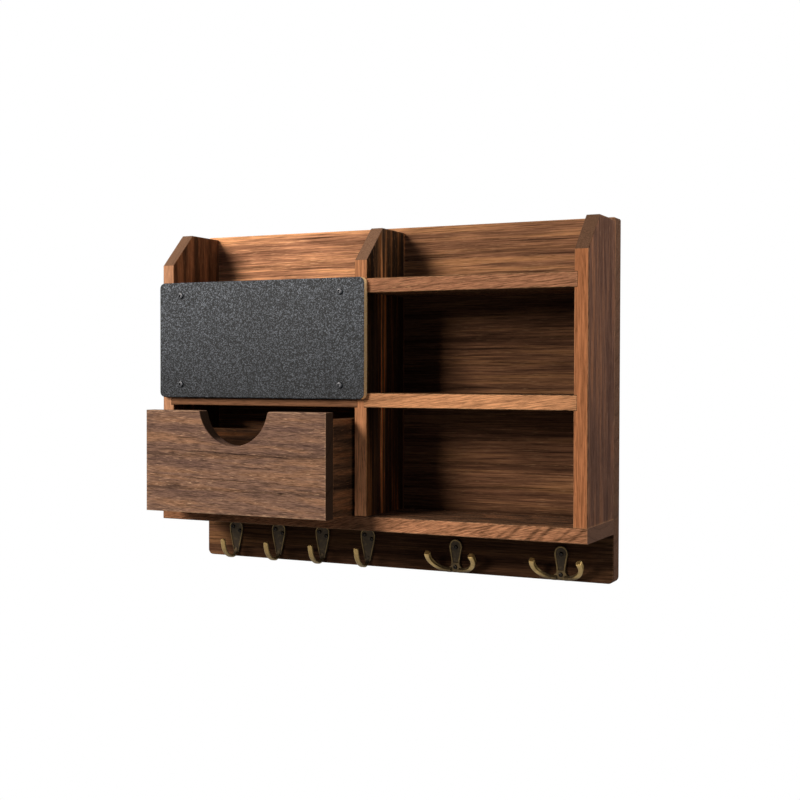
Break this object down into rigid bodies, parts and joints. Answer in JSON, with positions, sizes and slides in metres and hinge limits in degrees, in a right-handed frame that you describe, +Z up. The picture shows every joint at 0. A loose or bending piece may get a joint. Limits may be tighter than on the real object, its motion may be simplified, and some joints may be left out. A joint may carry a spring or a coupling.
{
  "type": "wall organizer",
  "caption": "Wooden wall organizer with a chalkboard-fronted mail slot, a sliding drawer, open cubbies, a top tray and a rail of cast hooks.",
  "frame": {"origin": "on the wall plane, midway between the two hanging points: the tops of the keyhole slots", "axes": "+X to the right seen from the front, +Y into the wall, so the front faces -Y, and +Z up"},
  "size_m": [0.406, 0.133, 0.3072],
  "materials": {
    "stained_wood": "scorched and stained, satin",
    "fibreboard": "raw",
    "chalkboard": "matt blackboard coating on fibreboard",
    "antique_brass": "antiqued, satin",
    "black_screws": "black oxide",
    "zinc_steel": "zinc plated"
  },
  "bodies": {
    "case": {"back_panel": "stained_wood", "left_side": "stained_wood", "right_side": "stained_wood", "divider": "stained_wood", "bottom_shelf": "stained_wood", "mail_shelf": "stained_wood", "middle_shelf": "stained_wood", "top_shelf": "stained_wood", "left_cleat": "stained_wood", "right_cleat": "stained_wood", "single_hook_1": "antique_brass", "single_hook_2": "antique_brass", "single_hook_3": "antique_brass", "single_hook_4": "antique_brass", "double_hook_1": "antique_brass", "double_hook_2": "antique_brass", "chalkboard": "chalkboard", "chalkboard_screws": "black_screws", "single_hook_screws": "black_screws", "double_hook_screws": "black_screws", "back_screws": "zinc_steel", "bottom_screws": "zinc_steel"},
    "drawer": {"drawer_front": "stained_wood", "drawer_left_side": "stained_wood", "drawer_right_side": "stained_wood", "drawer_back": "stained_wood", "drawer_bottom": "fibreboard", "drawer_brads": "zinc_steel"}
  },
  "joints": [
    {"name": "drawer_slide", "type": "slide", "parent": "case", "child": "drawer", "axis": [0, -1, 0], "range_m": [-0.045, 0.015]}
  ]
}
